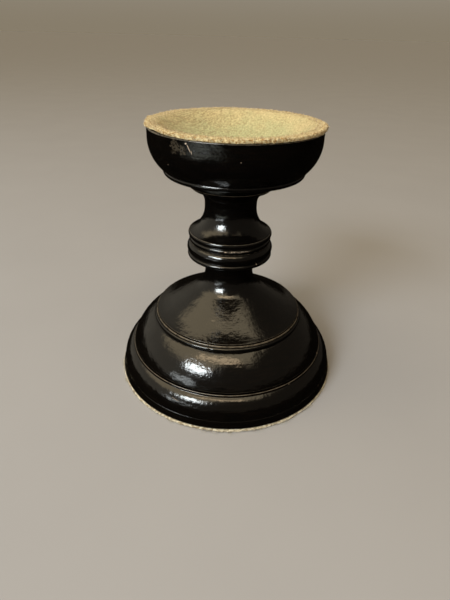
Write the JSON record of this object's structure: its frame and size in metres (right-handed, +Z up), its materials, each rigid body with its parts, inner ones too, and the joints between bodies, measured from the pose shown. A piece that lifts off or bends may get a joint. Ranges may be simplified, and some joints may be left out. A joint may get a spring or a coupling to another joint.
{
  "type": "lined pedestal stand",
  "caption": "Turned ebonised wood stand: a shallow leather-lined cup on a waisted stem with a ringed knop and a wide stepped foot with a leather pad.",
  "frame": {"origin": "centre of the foot pad's underside, on the stand's turning axis", "axes": "+Z up the turning axis of the foot and stem, towards the cup; +X is the side that the cup is off centre towards, by 0.9 mm, and the right side seen from the front"},
  "size_m": [0.1004, 0.1004, 0.11],
  "materials": {
    "ebonised_wood": "gloss black French polish over stained hardwood",
    "suede": "pale suede, nap side out",
    "bare_wood": "plain planed beech",
    "screw_brass": "turned, dull",
    "screw_steel": "plain steel, dull"
  },
  "bodies": {
    "root": {"plinth": "ebonised_wood", "lower_stem": "ebonised_wood", "upper_stem": "ebonised_wood", "cup": "ebonised_wood", "dish_lining": "suede", "foot_pad": "suede", "knop_dowel": "bare_wood", "cup_screw": "screw_brass", "foot_screw": "screw_steel"}
  },
  "joints": []
}
